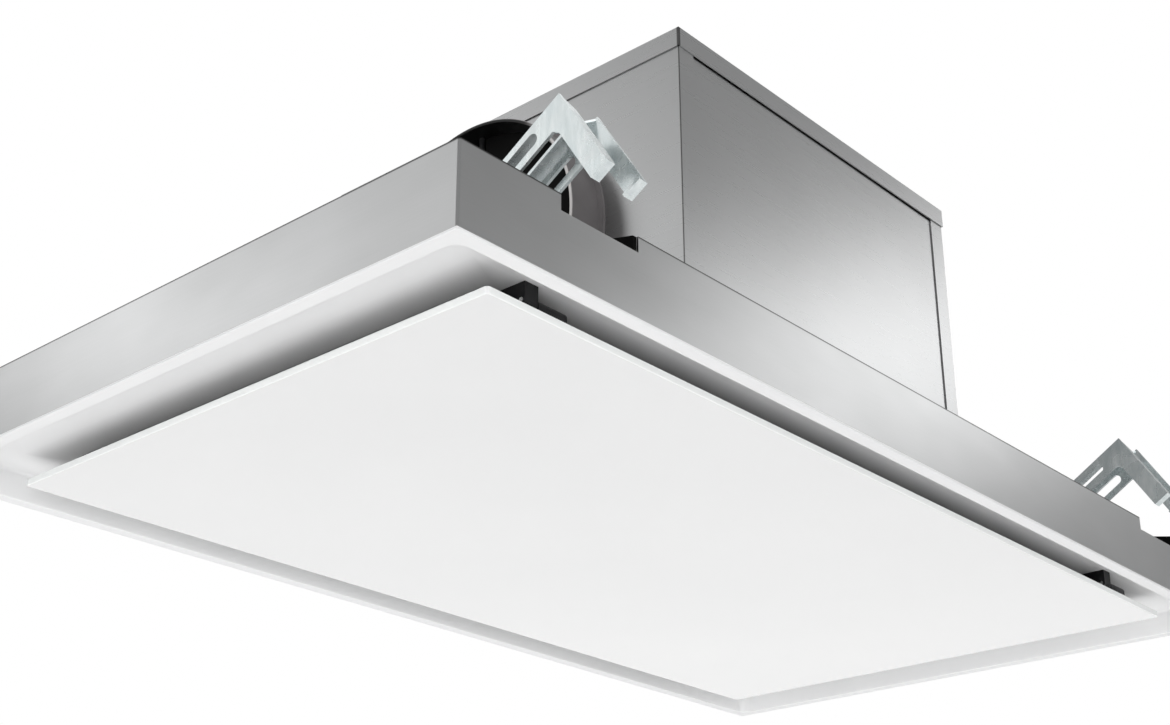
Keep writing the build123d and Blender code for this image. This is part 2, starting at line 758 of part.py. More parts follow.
motor_y = motor_standoff
motor_end = motor_y + motor_length
with BuildPart() as motor:
    with BuildSketch(Plane.XZ.offset(-motor_end)):
        with Locations((blower_x, blower_z)):
            Circle(motor_r)
    extrude(amount=motor_length)
    fillet(motor.edges().filter_by(GeomType.CIRCLE), 4.0)
    for recess_y in (motor_y, motor_end - bearing_length):
        with BuildSketch(Plane.XZ.offset(-recess_y - bearing_length)):
            with Locations((blower_x, blower_z)):
                Circle(bearing_r)
        extrude(amount=bearing_length, mode=Mode.SUBTRACT)
    with BuildSketch(Plane.XZ.offset(-motor_end)):
        with Locations((blower_x, blower_z)):
            Circle(shaft_r + 1.0)
    extrude(amount=motor_length, mode=Mode.SUBTRACT)
motor.part.label = "motor"
export_step(motor.part, "parts/motor.step")

with BuildPart() as shaft_bearings:
    for recess_y in (motor_y, motor_end - bearing_length):
        with BuildSketch(Plane.XZ.offset(-recess_y - bearing_length)):
            with Locations((blower_x, blower_z)):
                Circle(bearing_r)
                Circle(shaft_r + shaft_play, mode=Mode.SUBTRACT)
        extrude(amount=bearing_length)
shaft_bearings.part.label = "shaft_bearings"
export_step(shaft_bearings.part, "parts/shaft_bearings.step")

with BuildPart() as motor_shaft:
    with BuildSketch(Plane.XZ.offset(-motor_end)):
        with Locations((blower_x, blower_z)):
            Circle(shaft_r)
    extrude(amount=motor_end + hub_length + 3.0)
motor_shaft.part.label = "motor_shaft"
export_step(motor_shaft.part, "parts/motor_shaft.step")

with BuildPart() as motor_spider:
    spider_outer = inlet_r + spider_ring
    spider_y = max(scroll_half, motor_end)
    with BuildSketch(Plane.XZ.offset(-spider_y - spider_sheet)):
        with Locations((blower_x, blower_z)):
            Circle(spider_outer)
            Circle(inlet_r, mode=Mode.SUBTRACT)
            Circle(motor_r * 0.6)
            with PolarLocations(inlet_r * 0.7, 3):
                Rectangle(inlet_r * 0.7, spider_arm)
            Circle(shaft_r + 2.0, mode=Mode.SUBTRACT)
    extrude(amount=spider_sheet)
motor_spider.part.label = "motor_spider"
export_step(motor_spider.part, "parts/motor_spider.step")

# ---------------------------------------------------------------- electrics
case_x = box_half_x + 81.0
case_length = 110.0
case_width = 150.0
case_height = 38.0
case_wall = 2.0
with BuildPart() as electronics_tray:
    with BuildSketch(Plane.XY.offset(deck_top)):
        with Locations((case_x, 0)):
            RectangleRounded(case_length, case_width, 4.0)
    extrude(amount=case_height - case_wall)
    offset(amount=-case_wall, openings=electronics_tray.faces().sort_by(Axis.Z)[-1])
electronics_tray.part.label = "electronics_tray"
export_step(electronics_tray.part, "parts/electronics_tray.step")

board_stand = 4.0
board_thickness = 1.6
with BuildPart() as circuit_board:
    board_z = deck_top + case_wall
    with BuildSketch(Plane.XY.offset(board_z + board_stand)):
        with Locations((case_x, 0)):
            Rectangle(case_length - 2 * case_wall - 4, case_width - 2 * case_wall - 4)
    extrude(amount=board_thickness)
    # four stand-offs below, then a transformer, a relay and a terminal strip on top
    with BuildSketch(Plane.XY.offset(board_z)):
        with Locations((case_x, 0)):
            with GridLocations(case_length - 22, case_width - 22, 2, 2):
                Circle(3.0)
    extrude(amount=board_stand)
    with BuildSketch(Plane.XY.offset(board_z + board_stand + board_thickness)):
        with Locations((case_x - 18, 30)):
            Rectangle(36, 42)
        with Locations((case_x + 22, 28)):
            Rectangle(18, 28)
    extrude(amount=22.0)
    with BuildSketch(Plane.XY.offset(board_z + board_stand + board_thickness)):
        with Locations((case_x, -48)):
            Rectangle(64, 12)
    extrude(amount=13.0)
circuit_board.part.label = "circuit_board"
export_step(circuit_board.part, "parts/circuit_board.step")

with BuildPart() as electronics_cover:
    with BuildSketch(Plane.XY.offset(deck_top + case_height - case_wall)):
        with Locations((case_x, 0)):
            RectangleRounded(case_length, case_width, 4.0)
    extrude(amount=case_wall)
    chamfer(electronics_cover.faces().sort_by(Axis.Z)[-1].edges(), 0.8)
electronics_cover.part.label = "electronics_cover"
export_step(electronics_cover.part, "parts/electronics_cover.step")

gland_bore_r = 3.8
gland_length = 20.0
with BuildPart() as cable_gland:
    with BuildSketch(Plane.XZ.offset(-box_half_y - 5.0)):
        with Locations((gland_x, gland_z)):
            RegularPolygon(11.0, 6)
    extrude(amount=5.0)
    with BuildSketch(Plane.XZ.offset(-box_half_y - 16.0)):
        with Locations((gland_x, gland_z)):
            Circle(8.5)
    extrude(amount=11.0)
    with BuildSketch(Plane.XZ.offset(-box_half_y)):
        with Locations((gland_x, gland_z)):
            Circle(gland_hole_r)
    extrude(amount=gland_length - 16.0)
    with BuildSketch(Plane.XZ.offset(-box_half_y - 16.0)):
        with Locations((gland_x, gland_z)):
            Circle(gland_bore_r)
    extrude(amount=gland_length, mode=Mode.SUBTRACT)
cable_gland.part.label = "cable_gland"
export_step(cable_gland.part, "parts/cable_gland.step")

# ---------------------------------------------------------------- swing-out ceiling clamps
# One clamp is drawn at the near left and copied: the near ones slide along X,
# the far ones are turned half a turn about Z. leg_dir and arm_dir are the two
# directions of its L in the YZ plane, from the apex of the L.
tilt = radians(clamp_tilt)
leg_y = cos(tilt)
leg_z = -sin(tilt)
arm_y = -sin(tilt)
arm_z = -cos(tilt)
pivot_y = -clamp_apex_y + clamp_bolt_at * leg_y + clamp_slot_mid * arm_y
pivot_z = clamp_apex_z + clamp_bolt_at * leg_z + clamp_slot_mid * arm_z
slot_end = clamp_bolt_at + clamp_slot_width / 2 + 0.2
leg_length = slot_end + 4.5
outer_face = -clamp_width / 2
clamp_names = ("near_left", "near_right", "far_right", "far_left")
clamp_turns = (0, 0, 180, 180)
clamp_shifts = (-clamp_x, clamp_x, -clamp_x, clamp_x)


def on_cheek(along, across):
    """Point of the L in YZ: along the leg and across it, down the arm, from the apex."""
    return (
        -clamp_apex_y + along * leg_y + across * arm_y,
        clamp_apex_z + along * leg_z + across * arm_z,
    )


leg_plane_x = Vector(0, leg_y, leg_z)
for clamp_name, clamp_turn, clamp_shift in zip(clamp_names, clamp_turns, clamp_shifts):
    with BuildPart() as clamp_arm:
        # two cheeks, each an L with one long slot in its leg
        for cheek_x in (outer_face, -outer_face - clamp_sheet):
            with BuildSketch(Plane.YZ.offset(clamp_shift + cheek_x)):
                with BuildLine():
                    Polyline(
                        on_cheek(0, 0),
                        on_cheek(leg_length, 0),
                        on_cheek(leg_length, clamp_leg_width),
                        on_cheek(clamp_arm_width + 3.0, clamp_leg_width),
                        on_cheek(clamp_arm_width, clamp_leg_width + 5.0),
                        on_cheek(clamp_arm_width, clamp_arm_length),
                        on_cheek(0, clamp_arm_length),
                        close=True,
                    )
                make_face()
                slot_mid_along = (clamp_slot_start + slot_end) / 2
                with Locations(
                    Location(on_cheek(slot_mid_along, clamp_slot_mid) + (0,), (0, 0, -clamp_tilt))
                ):
                    SlotOverall(
                        slot_end - clamp_slot_start, clamp_slot_width, mode=Mode.SUBTRACT
                    )
            extrude(amount=clamp_sheet)
        # stiffening flange along the outer edge of the arm, on the outer cheek only
        arm_plane = Plane(
            origin=(clamp_shift, *on_cheek(0, 0)),
            x_dir=(1, 0, 0),
            z_dir=(0, leg_y, leg_z),
        )
        arm_down = -1 if arm_plane.y_dir.Z > 0 else 1
        flange_in = outer_face + clamp_arm_flange
        with BuildSketch(arm_plane):
            with BuildLine():
                Polyline(
                    (outer_face, 0),
                    (flange_in, arm_down * clamp_flange_slant),
                    (flange_in, arm_down * (clamp_arm_length - 3.0)),
                    (outer_face, arm_down * clamp_arm_length),
                    close=True,
                )
            make_face()
        extrude(amount=clamp_sheet)
        # tabs folded in at the ends of both arms
        tab_plane = Plane(
            origin=(clamp_shift, *on_cheek(0, clamp_arm_length)),
            x_dir=(1, 0, 0),
            z_dir=(0, -arm_y, -arm_z),
        )
        tab_in = 1 if tab_plane.y_dir.Y > 0 else -1
        with BuildSketch(tab_plane):
            for tab_side in (-1, 1):
                with Locations(
                    (
                        tab_side * (clamp_width / 2 - clamp_end_tab / 2),
                        tab_in * clamp_arm_width / 2,
                    )
                ):
                    Rectangle(clamp_end_tab, clamp_arm_width)
        extrude(amount=clamp_sheet)
        # flanges on the legs' upper edges, and the web that joins the two cheeks
        leg_plane = Plane(
            origin=(clamp_shift, *on_cheek(0, 0)),
            x_dir=(1, 0, 0),
            z_dir=(0, arm_y, arm_z),
        )
        leg_in = 1 if leg_plane.y_dir.Y > 0 else -1
        with BuildSketch(leg_plane):
            with BuildLine():
                Polyline(
                    (outer_face, 0),
                    (outer_face + clamp_leg_flange_a, leg_in * clamp_flange_slant),
                    (outer_face + clamp_leg_flange_a, leg_in * clamp_web_from),
                    (-outer_face - clamp_leg_flange_b, leg_in * clamp_web_from),
                    (-outer_face - clamp_leg_flange_b, leg_in * clamp_flange_slant),
                    (-outer_face, 0),
                    (-outer_face, leg_in * leg_length),
                    (outer_face, leg_in * leg_length),
                    close=True,
                )
            make_face()
        extrude(amount=clamp_sheet)
    turned_arm = clamp_arm.part.rotate(Axis.Z, clamp_turn)
    turned_arm.label = f"clamp_arm_{clamp_name}"
    export_step(turned_arm, f"parts/clamp_arm_{clamp_name}.step")

    with BuildPart() as clamp_bolt:
        head_x = clamp_shift + outer_face - side_gap - bolt_head
        with BuildSketch(Plane.YZ.offset(head_x)):
            with Locations((pivot_y, pivot_z)):
                Circle(bolt_head_r)
        extrude(amount=bolt_head)
        fillet(clamp_bolt.faces().sort_by(Axis.X)[0].edges(), 1.6)
        with BuildSketch(Plane.YZ.offset(head_x + bolt_head)):
            with Locations((pivot_y, pivot_z)):
                Circle(bolt_r)
        extrude(amount=clamp_width + 2 * side_gap + nut_length + 3.0)
    turned_bolt = clamp_bolt.part.rotate(Axis.Z, clamp_turn)
    turned_bolt.label = f"clamp_bolt_{clamp_name}"
    export_step(turned_bolt, f"parts/clamp_bolt_{clamp_name}.step")

    with BuildPart() as clamp_nut:
        with BuildSketch(Plane.YZ.offset(clamp_shift - outer_face + side_gap)):
            with Locations((pivot_y, pivot_z)):
                RegularPolygon(nut_size / 2, 6, major_radius=False)
                Circle(bolt_r, mode=Mode.SUBTRACT)
        extrude(amount=nut_length)
    turned_nut = clamp_nut.part.rotate(Axis.Z, clamp_turn)
    turned_nut.label = f"clamp_nut_{clamp_name}"
    export_step(turned_nut, f"parts/clamp_nut_{clamp_name}.step")

# steel feet with two ears for the clamp bolts
ear_outer = clamp_width / 2 - clamp_sheet - side_gap
ear_r = clamp_slot_mid - clamp_sheet - ear_swing_gap
with BuildPart() as clamp_bases:
    for turn in (0, 180):
        for shift in (-clamp_x, clamp_x):
            foot_plane = Plane((0, 0, deck_top), x_dir=(1 if turn == 0 else -1, 0, 0))
            with BuildSketch(foot_plane):
                with Locations((shift, pivot_y)):
                    Rectangle(2 * base_half_width, base_length)
            extrude(amount=base_sheet)
            for ear_x in (-ear_outer, ear_outer - clamp_sheet):
                ear_plane = Plane(
                    origin=foot_plane.from_local_coords(Vector(shift + ear_x, 0, -deck_top)),
                    x_dir=foot_plane.y_dir,
                    z_dir=foot_plane.x_dir,
                )
                with BuildSketch(ear_plane):
                    # narrow at the bolt, so that the arm's web swings past, and wide at the foot
                    with BuildLine():
                        Polyline(
                            (pivot_y - ear_foot_width / 2, deck_top),
                            (pivot_y - ear_r, pivot_z - ear_neck),
                            (pivot_y - ear_r, pivot_z),
                            (pivot_y + ear_r, pivot_z),
                            (pivot_y + ear_r, pivot_z - ear_neck),
                            (pivot_y + ear_foot_width / 2, deck_top),
                            close=True,
                        )
                    make_face()
                    with Locations((pivot_y, pivot_z)):
                        Circle(ear_r)
                        Circle(bolt_r + bolt_play, mode=Mode.SUBTRACT)
                extrude(amount=clamp_sheet)
clamp_bases.part.label = "clamp_bases"
export_step(clamp_bases.part, "parts/clamp_bases.step")

# black plastic guides beside the notches: a floor and two cheeks
tray_outer = wall_inner_width / 2 - fit_gap
with BuildPart() as clamp_guides:
    for turn in (0, 180):
        for shift in (-clamp_x, clamp_x):
            guide_plane = Plane((0, 0, deck_top), x_dir=(1 if turn == 0 else -1, 0, 0))
            with BuildSketch(guide_plane):
                with Locations((shift, -tray_outer + tray_depth / 2)):
                    Rectangle(notch_width, tray_depth)
            extrude(amount=1.0)
            for cheek_x in (-notch_width / 2, notch_width / 2 - tray_wall):
                cheek_plane = Plane(
                    origin=guide_plane.from_local_coords(Vector(shift + cheek_x, 0, -deck_top)),
                    x_dir=guide_plane.y_dir,
                    z_dir=guide_plane.x_dir,
                )
                with BuildSketch(cheek_plane):
                    with BuildLine():
                        Polyline(
                            (-tray_outer, deck_top),
                            (-tray_outer, wall_top),
                            (-tray_outer + tray_rise_run, wall_top + tray_rise),
                            (-tray_outer + tray_depth - 8.0, wall_top + tray_rise),
                            (-tray_outer + tray_depth, deck_top),
                            close=True,
                        )
                    make_face()
                extrude(amount=tray_wall)
clamp_guides.part.label = "clamp_guides"
export_step(clamp_guides.part, "parts/clamp_guides.step")

# a stud and nut hold each guide down to the deck
stud_y = -half_width + 22.0
stud_offset = -22.0
with BuildPart() as guide_studs:
    for turn in (0, 180):
        for shift in (-clamp_x, clamp_x):
            stud_plane = Plane(
                (0, 0, deck_top + 1.0), x_dir=(1 if turn == 0 else -1, 0, 0)
            )
            with BuildSketch(stud_plane):
                with Locations((shift + stud_offset, stud_y)):
                    Circle(stud_r)
            extrude(amount=stud_top - deck_top - 1.0)
            with BuildSketch(stud_plane):
                with Locations((shift + stud_offset, stud_y)):
                    RegularPolygon(4.0, 6, major_radius=False)
            extrude(amount=4.0)
guide_studs.part.label = "guide_studs"
export_step(guide_studs.part, "parts/guide_studs.step")

# ---------------------------------------------------------------- screws
screw_head_r = 3.4
screw_head = 1.8
lid_screw_z = hood_height - lid_skirt / 2
with BuildPart() as casing_screws:
    # the lid is held on its two far faces
    with BuildSketch(Plane.XZ.offset(-box_half_y - box_sheet - fit_gap)):
        with Locations((-box_length / 3, lid_screw_z), (box_length / 3, lid_screw_z)):
            Circle(screw_head_r)
    extrude(amount=-screw_head)
    with BuildSketch(Plane.YZ.offset(box_half_x + box_sheet + fit_gap)):
        with Locations((-box_width / 3, lid_screw_z), (box_width / 3, lid_screw_z)):
            Circle(screw_head_r)
    extrude(amount=screw_head)
    # four more hold each clamp foot down to the deck
    for turn in (0, 180):
        for shift in (-clamp_x, clamp_x):
            head_plane = Plane(
                (0, 0, deck_top + base_sheet), x_dir=(1 if turn == 0 else -1, 0, 0)
            )
            with BuildSketch(head_plane):
                with Locations((shift, pivot_y)):
                    with GridLocations(2 * base_half_width - 12, base_length - 14, 2, 2):
                        Circle(screw_head_r)
            extrude(amount=screw_head)
casing_screws.part.label = "casing_screws"
export_step(casing_screws.part, "parts/casing_screws.step")

print("panel", panel_length, panel_width, "deck top", deck_top)
print("clamp pivot", round(pivot_y, 3), round(pivot_z, 3), "leg length", leg_length)
print("leg direction", round(leg_y, 5), round(leg_z, 5), "hinge axis", hinge_axis_y, hinge_axis_z)
print("flap pivot x", flap_x, "filter", filter_length, filter_width, "catch y", catch_y)
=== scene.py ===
"""Looks for a flush ceiling range hood, seen from below and to one side."""

import math

import bmesh
import bpy
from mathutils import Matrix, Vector


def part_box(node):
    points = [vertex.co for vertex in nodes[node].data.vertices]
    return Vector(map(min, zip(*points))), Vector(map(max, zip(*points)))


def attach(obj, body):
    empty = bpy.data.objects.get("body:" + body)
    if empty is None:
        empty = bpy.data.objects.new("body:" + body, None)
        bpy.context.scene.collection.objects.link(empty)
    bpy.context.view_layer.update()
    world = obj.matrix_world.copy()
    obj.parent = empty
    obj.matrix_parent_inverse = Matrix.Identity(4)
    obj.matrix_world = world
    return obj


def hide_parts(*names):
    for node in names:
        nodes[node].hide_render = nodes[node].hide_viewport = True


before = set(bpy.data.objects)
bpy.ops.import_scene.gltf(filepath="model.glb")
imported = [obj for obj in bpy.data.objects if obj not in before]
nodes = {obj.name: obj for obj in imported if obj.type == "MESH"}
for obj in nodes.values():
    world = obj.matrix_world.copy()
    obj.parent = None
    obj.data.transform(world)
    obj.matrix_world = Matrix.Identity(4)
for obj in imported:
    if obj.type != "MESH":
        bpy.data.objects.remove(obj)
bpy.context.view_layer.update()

# ---------------------------------------------------------------- trim frame
# The rim that shows below the ceiling and the recessed channel inside it, folded from
# one steel sheet and powder coated white, with the fine orange-peel of sprayed powder.
# The coat is thin along the outer fold. Deep in the channel it is painted dark grey as shade.
scene = bpy.context.scene


def finish(name, rough=0.5, metal=0.0, coat=0.0, coat_rough=0.05):
    """Start a node material; gives the material, its tree and its shader."""
    made = bpy.data.materials.new(name)
    made.use_nodes = True
    shader = made.node_tree.nodes["Principled BSDF"]
    shader.inputs["Roughness"].default_value = rough
    shader.inputs["Metallic"].default_value = metal
    shader.inputs["Coat Weight"].default_value = coat
    shader.inputs["Coat Roughness"].default_value = coat_rough
    return made, made.node_tree, shader


def dress(made, *names):
    """Put a finish on the CAD pieces with these names."""
    for name in names:
        mesh = nodes[name].data
        mesh.materials.clear()
        mesh.materials.append(made)


def grain(tree, scale, stretch=(1, 1, 1), detail=3.0, warp=0.0):
    """Noise in the piece's own metres; a low stretch on an axis draws it out along it."""
    place = tree.nodes.new("ShaderNodeTexCoord")
    size = tree.nodes.new("ShaderNodeMapping")
    size.inputs["Scale"].default_value = stretch
    tree.links.new(place.outputs["Object"], size.inputs["Vector"])
    noise = tree.nodes.new("ShaderNodeTexNoise")
    noise.inputs["Scale"].default_value = scale
    noise.inputs["Detail"].default_value = detail
    noise.inputs["Distortion"].default_value = warp
    tree.links.new(size.outputs["Vector"], noise.inputs["Vector"])
    return noise.outputs["Fac"]


def shades(tree, fac, *stops):
    """Colours along a noise: each stop is (position, colour)."""
    ramp = tree.nodes.new("ShaderNodeValToRGB")
    band = ramp.color_ramp
    while len(band.elements) < len(stops):
        band.elements.new(0.5)
    for mark, (at, colour) in zip(band.elements, stops):
        mark.position = at
        mark.color = (*colour, 1)
    tree.links.new(fac, ramp.inputs["Fac"])
    return ramp.outputs["Color"]


def spread(tree, fac, low, high, start=0.3, end=0.7):
    """A value that goes from low to high as fac goes from start to end."""
    ranged = tree.nodes.new("ShaderNodeMapRange")
    ranged.inputs["From Min"].default_value = start
    ranged.inputs["From Max"].default_value = end
    ranged.inputs["To Min"].default_value = low
    ranged.inputs["To Max"].default_value = high
    tree.links.new(fac, ranged.inputs["Value"])
    return ranged.outputs["Result"]


def near_plane(tree, axis, at, width, both_sides=False):
    """1 past a plane, as seen from the middle, falling to 0 within the width inside it."""
    place = tree.nodes.new("ShaderNodeTexCoord")
    parts = tree.nodes.new("ShaderNodeSeparateXYZ")
    tree.links.new(place.outputs["Object"], parts.inputs["Vector"])
    value = parts.outputs[axis]
    if both_sides:
        size = tree.nodes.new("ShaderNodeMath")
        size.operation = "ABSOLUTE"
        tree.links.new(value, size.inputs[0])
        value = size.outputs[0]
    start = at - width if at > 0 else at + width
    return spread(tree, value, 0.0, 1.0, start, at)


def either(tree, *masks):
    """The larger of some masks."""
    out = masks[0]
    for mask in masks[1:]:
        larger = tree.nodes.new("ShaderNodeMath")
        larger.operation = "MAXIMUM"
        tree.links.new(out, larger.inputs[0])
        tree.links.new(mask, larger.inputs[1])
        out = larger.outputs[0]
    return out


def past_rectangle(tree, half_sides, widths):
    """1 outside a level rectangle about the middle, falling to 0 within the widths inside it."""
    return either(
        tree,
        near_plane(tree, "X", half_sides[0], widths[0], both_sides=True),
        near_plane(tree, "Y", half_sides[1], widths[1], both_sides=True),
    )


def mixed(tree, fac, first, second):
    """Colour first, going over to the second (a socket or a colour) by a mask."""
    mix = tree.nodes.new("ShaderNodeMix")
    mix.data_type = "RGBA"
    if isinstance(fac, float):
        mix.inputs[0].default_value = fac
    else:
        tree.links.new(fac, mix.inputs[0])
    tree.links.new(first, mix.inputs[6])
    if isinstance(second, tuple):
        mix.inputs[7].default_value = (*second, 1)
    else:
        tree.links.new(second, mix.inputs[7])
    return mix.outputs[2]


def paint(tree, shader, colour, rough):
    """Join a colour socket and a roughness socket to the shader."""
    tree.links.new(colour, shader.inputs["Base Color"])
    tree.links.new(rough, shader.inputs["Roughness"])


def relief(tree, shader, fac, depth, strength):
    """Raise the surface by a noise, with the depth in metres."""
    bump = tree.nodes.new("ShaderNodeBump")
    bump.inputs["Strength"].default_value = strength
    bump.inputs["Distance"].default_value = depth
    tree.links.new(fac, bump.inputs["Height"])
    tree.links.new(bump.outputs["Normal"], shader.inputs["Normal"])


rim_half, fold_width = (0.450, 0.250), 0.0012
# Painted shade deep in the channel: dark inside these half sides, fading out over these widths.
channel_shade_half, channel_shade_fade = (0.398, 0.209), (0.038, 0.018)
fold_grey = (0.78, 0.785, 0.79)
powder, tree, shader = finish("white_powder_coat", rough=0.42)
cloud = grain(tree, 9.0, detail=2.0)
peel = grain(tree, 900.0, detail=1.0)
full_coat = shades(tree, cloud, (0.3, (0.845, 0.847, 0.85)), (0.7, (0.87, 0.872, 0.873)))
# Painted shade: the dark grey deep in the channel.
channel_shade = shades(tree, cloud, (0.3, (0.38, 0.38, 0.38)), (0.7, (0.41, 0.41, 0.41)))
outer_fold = past_rectangle(tree, rim_half, (fold_width, fold_width))
coat = mixed(tree, past_rectangle(tree, channel_shade_half, channel_shade_fade), channel_shade, full_coat)
paint(tree, shader, mixed(tree, outer_fold, coat, fold_grey), spread(tree, cloud, 0.36, 0.48))
relief(tree, shader, peel, 0.00004, 0.35)
dress(powder, "trim_frame")

# ---------------------------------------------------------------- glass panel
# One sheet of 4.5 mm float glass, enamelled white on its back, with ground and
# polished edges that show a faint green. It is bonded to the panel carrier.
glass_half, polished_width = (0.391, 0.213), 0.0006
edge_tint = (0.93, 0.95, 0.94)
enamel, tree, shader = finish("enamelled_glass", rough=0.16, coat=1.0, coat_rough=0.03)
cloud = grain(tree, 5.0, detail=2.0)
specks = grain(tree, 2400.0, detail=0.0)
white = shades(tree, cloud, (0.3, (0.825, 0.827, 0.828)), (0.7, (0.845, 0.846, 0.846)))
edge = past_rectangle(tree, glass_half, (polished_width, polished_width))
paint(tree, shader, mixed(tree, edge, white, edge_tint), spread(tree, cloud, 0.12, 0.2))
relief(tree, shader, specks, 0.00001, 0.15)
dress(enamel, "glass_panel")

# ---------------------------------------------------------------- casing wall
# A band of 1.2 mm satin steel sheet folded round the hood, open at the top, with
# four notches for the clamps. The sheet is rolled lengthwise, so its fine lines
# run level. A near-black line of painted shade runs along its top edge.
top_shade_z, top_shade_width, top_shade_grey = 0.0556, 0.0008, (0.06, 0.06, 0.06)
rolled, tree, shader = finish("satin_steel_wall", rough=0.27, metal=1.0)
lines = grain(tree, 60.0, (0.35, 0.35, 26.0), detail=4.0)
patch = grain(tree, 9.0, (1, 1, 2.2), detail=2.0)
level = shades(tree, lines, (0.3, (0.425, 0.43, 0.43)), (0.7, (0.445, 0.448, 0.45)))
cloudy = shades(tree, patch, (0.3, (0.36, 0.363, 0.365)), (0.72, (0.52, 0.525, 0.53)))
# Painted shade: a near-black line along the wall's top edge.
top_shade = near_plane(tree, "Z", top_shade_z, top_shade_width)
sheet = mixed(tree, top_shade, mixed(tree, 0.35, level, cloudy), top_shade_grey)
paint(tree, shader, sheet, spread(tree, lines, 0.275, 0.29))
relief(tree, shader, lines, 0.000001, 0.25)
dress(rolled, "casing_wall")

# ---------------------------------------------------------------- deck and plenum
# Hot-dip galvanised sheet: the deck that closes the casing, the plate the filters
# hang from and the low wall between them, and the blower's scroll, its adapter and
# the motor's spider. The zinc has frozen in pale crystals.
galvanised, tree, shader = finish("galvanised_sheet", rough=0.38, metal=0.95)
place = tree.nodes.new("ShaderNodeTexCoord")
spangle = tree.nodes.new("ShaderNodeTexVoronoi")
spangle.inputs["Scale"].default_value = 95.0
spangle.inputs["Randomness"].default_value = 1.0
tree.links.new(place.outputs["Object"], spangle.inputs["Vector"])
tint = tree.nodes.new("ShaderNodeSeparateColor")
tree.links.new(spangle.outputs["Color"], tint.inputs["Color"])
crystal = tint.outputs[0]
zinc = shades(
    tree, crystal,
    (0.0, (0.42, 0.43, 0.44)), (0.5, (0.50, 0.51, 0.52)), (1.0, (0.58, 0.59, 0.60)),
)
haze = grain(tree, 14.0, detail=3.0)
dull = shades(tree, haze, (0.35, (0.46, 0.465, 0.47)), (0.7, (0.55, 0.555, 0.56)))
paint(tree, shader, mixed(tree, 0.45, zinc, dull), spread(tree, crystal, 0.3, 0.46, 0.0, 1.0))
relief(tree, shader, haze, 0.0001, 0.2)
dress(galvanised, "deck_plate", "filter_carrier", "plenum_wall",
      "blower_scroll", "outlet_adapter", "motor_spider")

# ---------------------------------------------------------------- motor box and lid
# Satin steel sheet, brushed level, and along its length on the lid's top. The box's
# near face is a separate panel held behind the box's two folded flanges, and the
# lid is a shallow folded tray. Painted shade makes a dark line at the near left corner.


def both(tree, first, second):
    """Where two masks overlap: their product."""
    product = tree.nodes.new("ShaderNodeMath")
    product.operation = "MULTIPLY"
    tree.links.new(first, product.inputs[0])
    tree.links.new(second, product.inputs[1])
    return product.outputs[0]


corner_x, corner_y, corner_width, corner_shade_grey = -0.1687, -0.1697, 0.0006, (0.10, 0.10, 0.10)
box_steel, tree, shader = finish("brushed_box_steel", rough=0.26, metal=1.0)
facing = tree.nodes.new("ShaderNodeNewGeometry")
upward = tree.nodes.new("ShaderNodeSeparateXYZ")
tree.links.new(facing.outputs["Normal"], upward.inputs["Vector"])
brushing = tree.nodes.new("ShaderNodeMix")
tree.links.new(spread(tree, upward.outputs["Z"], 0.0, 1.0, 0.4, 0.6), brushing.inputs[0])
tree.links.new(grain(tree, 70.0, (0.3, 0.3, 30.0), detail=5.0), brushing.inputs[2])
tree.links.new(grain(tree, 70.0, (0.3, 30.0, 30.0), detail=2.0), brushing.inputs[3])
lines = brushing.outputs[0]
patch = grain(tree, 6.0, detail=2.0)
level = shades(tree, lines, (0.3, (0.427, 0.431, 0.432)), (0.7, (0.437, 0.441, 0.443)))
cloudy = shades(tree, patch, (0.3, (0.39, 0.393, 0.395)), (0.72, (0.50, 0.505, 0.51)))
# Painted shade: a dark line down the box's near left corner.
corner_shade = both(
    tree,
    near_plane(tree, "X", corner_x, corner_width),
    near_plane(tree, "Y", corner_y, corner_width),
)
sheet = mixed(tree, corner_shade, mixed(tree, 0.35, level, cloudy), corner_shade_grey)
paint(tree, shader, sheet, spread(tree, lines, 0.273, 0.281))
relief(tree, shader, patch, 0.0001, 0.1)
dress(box_steel, "motor_box", "box_front_panel", "box_lid")

# ---------------------------------------------------------------- outlet collar and flaps
# Black injection-moulded collar on the short side of the box, with two flaps on
# one upright pin. The plastic has a fine spark texture. Its outside is painted grey
# as sheen, and the near part of its mouth is painted pale as a highlight.


def distance(tree, centre, axes):
    """How far a spot is from a centre, counted along the axes that are 1."""
    place = tree.nodes.new("ShaderNodeTexCoord")
    offset = tree.nodes.new("ShaderNodeMapping")
    offset.inputs["Location"].default_value = tuple(-part for part in centre)
    offset.inputs["Scale"].default_value = axes
    radius = tree.nodes.new("ShaderNodeVectorMath")
    radius.operation = "LENGTH"
    tree.links.new(place.outputs["Object"], offset.inputs["Vector"])
    tree.links.new(offset.outputs["Vector"], radius.inputs[0])
    return radius.outputs["Value"]


collar_axis_z, collar_inner_r, collar_outer_r = 0.177, 0.0985, 0.0993
mouth_x, mouth_width = -0.198, 0.0009
mouth_highlight_y, mouth_highlight_fade, mouth_highlight_grey = -0.085, 0.03, (0.62, 0.6, 0.59)
moulded, tree, shader = finish("black_moulding", rough=0.3, coat=0.06, coat_rough=0.2)
shader.inputs["Specular IOR Level"].default_value = 0.2
cloud = grain(tree, 30.0, detail=3.0)
spark = grain(tree, 1500.0, detail=1.0)
black = shades(tree, cloud, (0.3, (0.004, 0.004, 0.004)), (0.7, (0.007, 0.007, 0.007)))
# Painted sheen: outside the collar's wall the plastic is grey, inside it keeps the black.
outside_sheen = shades(tree, cloud, (0.3, (0.13, 0.123, 0.125)), (0.7, (0.17, 0.161, 0.163)))
from_axis = distance(tree, (0, 0, collar_axis_z), (0, 1, 1))
outside = spread(tree, from_axis, 0.0, 1.0, collar_inner_r, collar_outer_r)
